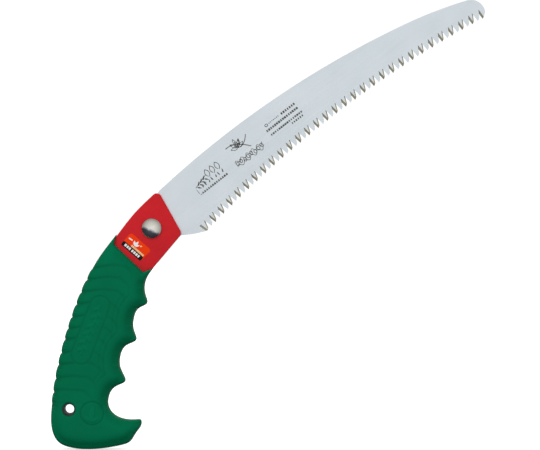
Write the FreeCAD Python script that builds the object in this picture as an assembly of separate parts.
"""Pruning saw with an exchangeable curved blade and an over-moulded finger grip.

Everything is drawn about the clamp screw's axis: x forward to the blade, z up,
y through the thickness, with y = 0 the blade's mid-plane. move_to_hole() then
puts the origin at the hanging hole in the grip. Lengths are millimetres.
"""
import FreeCAD
import Part
import math
import os

from FreeCAD import Vector

# --- Blade ---------------------------------------------------------------
BLADE_THICK = 1.3
TOOTH_COUNT = 61
TOOTH_LINE_CENTRE = (517.3, -457.8)
TOOTH_LINE_RADIUS = 665.1
FIRST_TOOTH = (34.25, -0.96)
TOOTH_PITCH = 3.5
TOOTH_DEPTH = 5.7
HEEL_FLANK_RUN = 0.80
TOE_FLANK_RUN = 2.28
GULLET_FLAT = 0.20
HEEL_BEVEL = 44.0
TOE_BEVEL = 30.0
TIP_FACET_ANGLE = 35.0
TIP_FACET_LONG = 3.0
CUTTER_REACH = 1.2
HEEL_GROOVE_LONG = 5.4
SPINE_HEEL = (4.4, 22.5)
SPINE_MIDDLE = (73.7, 77.95)
SPINE_BREAK = (150.0, 121.8)
SPINE_TOE_MIDDLE = (170.2, 130.6)
SPINE_END = (190.0, 137.4)
NOSE_MIDDLE = (198.2, 135.4)
NOSE_END = (200.9, 130.4)
HEEL_MIDDLE = (26.6, -3.1)
HEEL_END = (18.0, -4.1)
TANG = ((11.0, -8.0), (-17.0, -31.5), (-27.5, -22.0), (-2.5, 11.0))
FORK_MOUTH = ((-20.1, -26.6), (-28.1, -34.6), (-31.5, -30.8), (-23.5, -22.8))

# --- Clamp: sleeve nut on the right, slotted screw on the left -----------
SLEEVE_R = 4.0
SLEEVE_FLATS = 7.0
SLEEVE_END = 2.3
NUT_HEAD_R = 6.0
NUT_RIM = 1.0
NUT_DOME = 2.4
DOME_STEPS = 12
SCREW_R = 2.5
SCREW_RUNNING_GAP = 0.05
SCREW_TIP = -4.1
BORE_END = -4.4
SCREW_HEAD_R = 5.6
SCREW_HEAD_HIGH = 3.0
SCREW_HEAD_FILLET = 1.0
SLOT_WIDE = 1.5
SLOT_DEEP = 1.5
WASHER_HOLE_R = 2.65
FLAT_WASHER_R = 6.4
FLAT_WASHER_THICK = 1.0
SPRING_WASHER_R = 4.6
SPRING_WASHER_THICK = 1.3
SPRING_WASHER_CUT = 0.9
CLAMP_GAP = 0.02

# --- Holder: two plates with a packing plate between them ----------------
PLATE_THICK = 2.0
HOLDER_OUTLINE = (
    (3.8, 22.9, 3.0),
    (18.3, -3.2, 3.0),
    (0.8, -24.0, 0.0),
    (-9.5, -33.5, 4.0),
    (-18.0, -40.0, 6.0),
    (-24.0, -54.0, 0.0),
    (-27.6, -73.0, 4.0),
    (-40.0, -71.0, 4.0),
    (-36.0, -52.0, 0.0),
    (-30.5, -36.0, 6.0),
    (-29.5, -22.0, 6.0),
    (-21.3, -4.9, 0.0),
    (-10.6, 9.4, 90.0),
)
STOP_PIN = (-21.8, -24.7)
STOP_PIN_R = 2.5
RIVETS = ((-24.5, -42.0), (-30.0, -54.5), (-34.0, -67.5))
RIVET_R = 2.0
RIVET_HEAD_R = 3.5
RIVET_HEAD_THICK = 0.8

# --- Grip ----------------------------------------------------------------
GRIP_THICK = 25.0
CORE_THICK = 17.0
HOLE = (-49.3, -108.6)
HOLE_R = 2.675
BUSH_R = 4.05
BUSH_LONG = 20.8
GRIP_FINGER_SIDE = (
    (0.8, -24.0),
    (-3.2, -30.3),
    (-4.3, -35.5),
    (-3.4, -41.0),
    (-2.7, -44.7),
    (-7.4, -47.8),
    (-10.8, -54.2),
    (-11.2, -58.5),
    (-9.9, -63.6),
    (-9.2, -66.6),
    (-14.9, -70.2),
    (-18.9, -77.0),
    (-19.1, -82.5),
    (-16.8, -88.3),
    (-15.8, -91.5),
    (-21.2, -94.9),
    (-25.8, -101.1),
    (-25.6, -107.9),
    (-20.2, -113.4),
    (-13.0, -115.2),
    (-8.2, -115.3),
    (-6.3, -117.2),
    (-8.6, -123.2),
    (-12.9, -128.3),
    (-19.0, -130.6),
    (-28.0, -132.2),
    (-38.2, -132.9),
    (-49.1, -131.8),
    (-56.0, -128.7),
    (-59.7, -122.2),
    (-60.6, -114.0),
    (-60.2, -107.0),
)
GRIP_BACK = (
    (-60.2, -107.0),
    (-57.9, -90.3),
    (-54.7, -75.5),
    (-49.6, -57.5),
    (-42.5, -38.2),
    (-38.0, -28.5),
    (-31.9, -18.0),
    (-21.3, -3.9),
)
GRIP_MOUTH = ((-21.3, -3.9), (-22.6, -9.5), (-5.0, -26.3), (0.8, -24.0))
CORE_OUTLINE = (
    (-28.5, -15.5, 3),
    (-8.0, -34.5, 3),
    (-15.0, -56.0, 0),
    (-23.5, -80.0, 0),
    (-31.0, -102.0, 6),
    (-28.5, -118.5, 5),
    (-12.5, -120.5, 3),
    (-16.0, -126.0, 2),
    (-36.0, -128.5, 0),
    (-52.0, -126.5, 5),
    (-56.5, -112.0, 0),
    (-46.0, -62.0, 0),
)

# --- Label on the right-hand plate ---------------------------------------
LABEL_THICK = 0.2
LABEL_LONG = 16.3
LABEL_WIDE = 9.3
LABEL_CENTRE = (-9.3, -11.4)
LABEL_TURN = 41.0
LABEL_CORNER = 1.5

HALF_BLADE = BLADE_THICK / 2
PLATE_FACE = HALF_BLADE + PLATE_THICK
CLAMP_AXIS = (0.0, 0.0)
THROUGH = Vector(0, 1, 0)
THROUGH_CUT = 20.0
TOUCH = 1e-4


def at(point, y=0.0):
    """A 3-D point from an (x, z) pair."""
    return Vector(point[0], y, point[1])


def line(a, b):
    return Part.LineSegment(at(a), at(b)).toShape()


def lines(points):
    """Straight edges joining the points in turn."""
    return [line(a, b) for a, b in zip(points, points[1:])]


def arc(a, middle, b):
    return Part.Arc(at(a), at(middle), at(b)).toShape()


def curve(points):
    """A smooth curve through the points."""
    spline = Part.BSplineCurve()
    spline.interpolate([at(p) for p in points])
    return spline.toShape()


def slab(edges, low, high):
    """The closed outline's solid between two heights in y."""
    face = Part.Face(Part.Wire(edges))
    face.translate(THROUGH * low)
    return face.extrude(THROUGH * (high - low))


def rod(centre, radius, low, high):
    return Part.makeCylinder(radius, high - low, at(centre, low), THROUGH)


def drill(centre, radius):
    """A cutter right through the saw."""
    return rod(centre, radius, -THROUGH_CUT, THROUGH_CUT)


def clamp_hole(solid):
    return solid.cut(drill(CLAMP_AXIS, SLEEVE_R))


def toward(a, b, distance):
    """The point on the line from a to b, at that distance from a."""
    gap = math.dist(a, b)
    return tuple(a[i] + (b[i] - a[i]) * distance / gap for i in (0, 1))


def rounded(corners):
    """Edges of a closed polygon whose corners (x, z, radius) are rounded."""
    edges = []
    ends = []
    for i, (x, z, radius) in enumerate(corners):
        here = (x, z)
        before = corners[i - 1][:2]
        after = corners[(i + 1) % len(corners)][:2]
        a = math.atan2(before[1] - z, before[0] - x)
        b = math.atan2(after[1] - z, after[0] - x)
        half = abs((a - b + math.pi) % (2 * math.pi) - math.pi) / 2
        if radius == 0:
            ends.append((here, here))
            continue
        reach = radius / math.tan(half)
        start = toward(here, before, reach)
        end = toward(here, after, reach)
        middle = ((start[0] + end[0]) / 2, (start[1] + end[1]) / 2)
        centre_gap = radius / math.sin(half)
        top = toward(here, middle, centre_gap - radius)
        edges.append(arc(start, top, end))
        ends.append((start, end))
    for i, (start, end) in enumerate(ends):
        following = ends[(i + 1) % len(ends)][0]
        if math.dist(end, following) > TOUCH:
            edges.append(line(end, following))
    return Part.__sortEdges__(edges)


def revolve(profile):
    """Turns an (r, y) outline round the clamp axis."""
    points = [Vector(r, y, 0) for r, y in profile]
    face = Part.Face(Part.makePolygon(points + points[:1]))
    return face.revolve(Vector(0, 0, 0), THROUGH, 360)


# --- Blade ---------------------------------------------------------------
def tooth_place(number):
    """The tip of a tooth, with the directions to the toe and outward there."""
    cx, cz = TOOTH_LINE_CENTRE
    start = math.atan2(FIRST_TOOTH[1] - cz, FIRST_TOOTH[0] - cx)
    angle = start - number * TOOTH_PITCH / TOOTH_LINE_RADIUS
    inward = Vector(math.cos(angle), 0, math.sin(angle))
    toe = Vector(math.sin(angle), 0, -math.cos(angle))
    tip = Vector(cx, 0, cz) + inward * TOOTH_LINE_RADIUS
    return tip, toe, inward * -1


def slanted_cut(number, profile, slant):
    """A prism through the blade on a (toe, outward) profile at a tooth, leaning
    towards the toe by the tangent slant as y grows."""
    tip, toe, outward = tooth_place(number)
    lean = THROUGH + toe * slant
    base = [tip + toe * u + outward * v - lean * CUTTER_REACH for u, v in profile]
    face = Part.Face(Part.makePolygon(base + base[:1]))
    return face.extrude(lean * (2 * CUTTER_REACH))


def heel_groove():
    """The bevel ground into the plate's right face behind the first tooth."""
    tip, toe, outward = tooth_place(0)
    wide = 2 * HALF_BLADE * math.tan(math.radians(HEEL_BEVEL))
    section = [(0.0, -HALF_BLADE), (-wide, 0.0), (-wide, -PLATE_FACE), (0.0, -PLATE_FACE)]
    start = outward * CUTTER_REACH
    base = [tip + start + toe * u + THROUGH * y for u, y in section]
    along = outward * -(HEEL_GROOVE_LONG + CUTTER_REACH) - toe * HEEL_FLANK_RUN
    return Part.Face(Part.makePolygon(base + base[:1])).extrude(along)


def blade_outline():
    tip, toe, outward = tooth_place(TOOTH_COUNT - 1)
    last = (tip.x, tip.z)
    tip, toe, outward = tooth_place((TOOTH_COUNT - 1) / 2)
    middle = (tip.x, tip.z)
    return [
        arc(SPINE_HEEL, SPINE_MIDDLE, SPINE_BREAK),
        arc(SPINE_BREAK, SPINE_TOE_MIDDLE, SPINE_END),
        arc(SPINE_END, NOSE_MIDDLE, NOSE_END),
        line(NOSE_END, last),
        arc(last, middle, FIRST_TOOTH),
        arc(FIRST_TOOTH, HEEL_MIDDLE, HEEL_END),
        *lines([HEEL_END, *TANG, SPINE_HEEL]),
    ]


def blade():
    """Plate with a forked tang, a clamp hole and alternately bevelled teeth."""
    plate = slab(blade_outline(), -HALF_BLADE, HALF_BLADE)
    heel_slant = -math.tan(math.radians(HEEL_BEVEL))
    toe_slant = math.tan(math.radians(TOE_BEVEL))
    drop = math.tan(math.radians(TIP_FACET_ANGLE))
    over = CUTTER_REACH
    heel_run = HEEL_FLANK_RUN / TOOTH_DEPTH
    toe_run = TOE_FLANK_RUN / TOOTH_DEPTH
    floor = TOOTH_PITCH - HEEL_FLANK_RUN
    gullet = [
        (floor - GULLET_FLAT - toe_run * (TOOTH_DEPTH + over), over),
        (floor - GULLET_FLAT, -TOOTH_DEPTH),
        (floor, -TOOTH_DEPTH),
        (floor + heel_run * (TOOTH_DEPTH + over), over),
    ]
    lean = toe_slant * HALF_BLADE
    toe_end = TIP_FACET_LONG - lean
    facet = [(-lean, 0), (toe_end, -TIP_FACET_LONG * drop), (toe_end, over), (-lean, over)]
    cuts = [heel_groove()]
    for number in range(TOOTH_COUNT):
        if number < TOOTH_COUNT - 1:
            cuts.append(slanted_cut(number, gullet, heel_slant if number % 2 else toe_slant))
        cuts.append(slanted_cut(number, facet, 0))
    plate = plate.cut(Part.makeCompound(cuts))
    fork = drill(STOP_PIN, STOP_PIN_R)
    mouth = slab(lines([*FORK_MOUTH, FORK_MOUTH[0]]), -THROUGH_CUT, THROUGH_CUT)
    return clamp_hole(plate).cut(fork).cut(mouth)


# --- Holder --------------------------------------------------------------
def holder_edges():
    """Outline of the holder: the tab that shows, and the tail in the grip."""
    return rounded(HOLDER_OUTLINE)


def drill_frame(solid):
    """Cuts the holes for the rivets and the stop pin."""
    for centre in RIVETS:
        solid = solid.cut(drill(centre, RIVET_R))
    return solid.cut(drill(STOP_PIN, STOP_PIN_R))


def holder_plate_right():
    """Visible-side plate. Its clamp hole has two flats that hold the nut."""
    plate = drill_frame(slab(holder_edges(), -PLATE_FACE, -HALF_BLADE))
    return plate.cut(sleeve_blank(-THROUGH_CUT, 0))


def holder_plate_left():
    plate = drill_frame(slab(holder_edges(), HALF_BLADE, PLATE_FACE))
    return clamp_hole(plate)


def packing_plate():
    """Fills the space between the plates that the tang leaves."""
    packing = slab(holder_edges(), -HALF_BLADE, HALF_BLADE)
    tang = slab(blade_outline(), -HALF_BLADE, HALF_BLADE)
    packing = packing.cut(tang)
    packing = drill_frame(clamp_hole(packing))
    return max(packing.Solids, key=lambda s: s.Volume)


def stop_pin():
    return rod(STOP_PIN, STOP_PIN_R, -PLATE_FACE, PLATE_FACE)


def frame_rivets():
    rivets = []
    for centre in RIVETS:
        shank = rod(centre, RIVET_R, -PLATE_FACE, PLATE_FACE)
        right = rod(centre, RIVET_HEAD_R, -PLATE_FACE - RIVET_HEAD_THICK, -PLATE_FACE)
        left = rod(centre, RIVET_HEAD_R, PLATE_FACE, PLATE_FACE + RIVET_HEAD_THICK)
        rivets.append(shank.fuse([right, left]).removeSplitter())
    return Part.makeCompound(rivets)


# --- Clamp ---------------------------------------------------------------
def sleeve_blank(low, high):
    """The nut's sleeve, round with two flats."""
    flats = Part.makeBox(SLEEVE_FLATS, high - low, 4 * SLEEVE_R)
    flats.translate(Vector(-SLEEVE_FLATS / 2, low, -2 * SLEEVE_R))
    return rod(CLAMP_AXIS, SLEEVE_R, low, high).common(flats)


def cap_nut():
    """Domed nut with a long sleeve that carries the plates and the blade."""
    under = -PLATE_FACE
    rim = under - NUT_RIM
    top = rim - NUT_DOME
    ball = (NUT_HEAD_R**2 + NUT_DOME**2) / (2 * NUT_DOME)
    profile = [(0, under), (NUT_HEAD_R, under), (NUT_HEAD_R, rim)]
    for i in range(1, DOME_STEPS):
        r = NUT_HEAD_R * (1 - i / DOME_STEPS)
        profile.append((r, top + ball - math.sqrt(ball**2 - r**2)))
    profile.append((0, top))
    head = revolve(profile)
    nut = head.fuse(sleeve_blank(under, SLEEVE_END))
    return nut.cut(rod(CLAMP_AXIS, SCREW_R + SCREW_RUNNING_GAP, BORE_END, THROUGH_CUT))


def flat_washer():
    low = PLATE_FACE + CLAMP_GAP
    high = low + FLAT_WASHER_THICK
    return rod(CLAMP_AXIS, FLAT_WASHER_R, low, high).cut(rod(CLAMP_AXIS, WASHER_HOLE_R, low, high))


def spring_washer():
    low = PLATE_FACE + CLAMP_GAP + FLAT_WASHER_THICK
    high = low + SPRING_WASHER_THICK
    ring = rod(CLAMP_AXIS, SPRING_WASHER_R, low, high).cut(rod(CLAMP_AXIS, WASHER_HOLE_R, low, high))
    gap = Part.makeBox(SPRING_WASHER_CUT, SPRING_WASHER_THICK, SPRING_WASHER_R * 2)
    gap.translate(Vector(-SPRING_WASHER_CUT / 2, low, 0))
    return ring.cut(gap)


def clamp_screw():
    """Slotted screw that pulls the sleeve nut against the holder."""
    under = PLATE_FACE + FLAT_WASHER_THICK + SPRING_WASHER_THICK + 2 * CLAMP_GAP
    top = under + SCREW_HEAD_HIGH
    head = rod(CLAMP_AXIS, SCREW_HEAD_R, under, top)
    crown = [e for e in head.Edges if e.BoundBox.YMin > top - TOUCH]
    head = head.makeFillet(SCREW_HEAD_FILLET, crown)
    screw = head.fuse(rod(CLAMP_AXIS, SCREW_R, SCREW_TIP, under))
    slot = Part.makeBox(4 * SCREW_HEAD_R, SLOT_DEEP, SLOT_WIDE)
    slot.translate(Vector(-2 * SCREW_HEAD_R, top - SLOT_DEEP, -SLOT_WIDE / 2))
    return screw.cut(slot)


# --- Grip ----------------------------------------------------------------
def grip_edges():
    """Side outline of the grip: finger side, hook, pommel, back and mouth."""
    return [curve(GRIP_FINGER_SIDE), curve(GRIP_BACK), *lines(GRIP_MOUTH)]


def core_blank():
    half = CORE_THICK / 2
    return slab(rounded(CORE_OUTLINE), -half, half)


def bush():
    """Tube that lines the hanging hole."""
    half = BUSH_LONG / 2
    return rod(HOLE, BUSH_R, -half, half).cut(drill(HOLE, HOLE_R))


def frame_envelope():
    """What the mouldings are cast round: holder, packing and rivets."""
    block = slab(holder_edges(), -PLATE_FACE, PLATE_FACE)
    return block.fuse(list(frame_rivets().Solids))


def grip_core():
    """Stiff moulding on the holder's tail."""
    return core_blank().cut(frame_envelope()).cut(drill(HOLE, BUSH_R))


def rubber_grip():
    """Soft cover moulded over the core."""
    half = GRIP_THICK / 2
    body = slab(grip_edges(), -half, half)
    body = body.cut(core_blank()).cut(frame_envelope())
    return body.cut(drill(HOLE, BUSH_R))


# --- Label ---------------------------------------------------------------
def label():
    half_long = LABEL_LONG / 2
    half_wide = LABEL_WIDE / 2
    sticker = slab(
        rounded(
            [
                (-half_long, -half_wide, LABEL_CORNER),
                (half_long, -half_wide, LABEL_CORNER),
                (half_long, half_wide, LABEL_CORNER),
                (-half_long, half_wide, LABEL_CORNER),
            ]
        ),
        -PLATE_FACE - LABEL_THICK,
        -PLATE_FACE,
    )
    sticker.rotate(Vector(0, 0, 0), THROUGH, LABEL_TURN)
    sticker.translate(at(LABEL_CENTRE))
    return sticker


PIECES = {
    "blade": blade,
    "holder_plate_right": holder_plate_right,
    "holder_plate_left": holder_plate_left,
    "packing_plate": packing_plate,
    "stop_pin": stop_pin,
    "frame_rivets": frame_rivets,
    "cap_nut": cap_nut,
    "flat_washer": flat_washer,
    "spring_washer": spring_washer,
    "clamp_screw": clamp_screw,
    "grip_core": grip_core,
    "rubber_grip": rubber_grip,
    "lanyard_bush": bush,
    "label": label,
}


def move_to_hole(shape):
    """Puts the origin at the hanging hole's centre."""
    shape.translate(at(HOLE) * -1)
    return shape


os.makedirs("parts", exist_ok=True)
for name, make in PIECES.items():
    move_to_hole(make()).exportStep(f"parts/{name}.step")
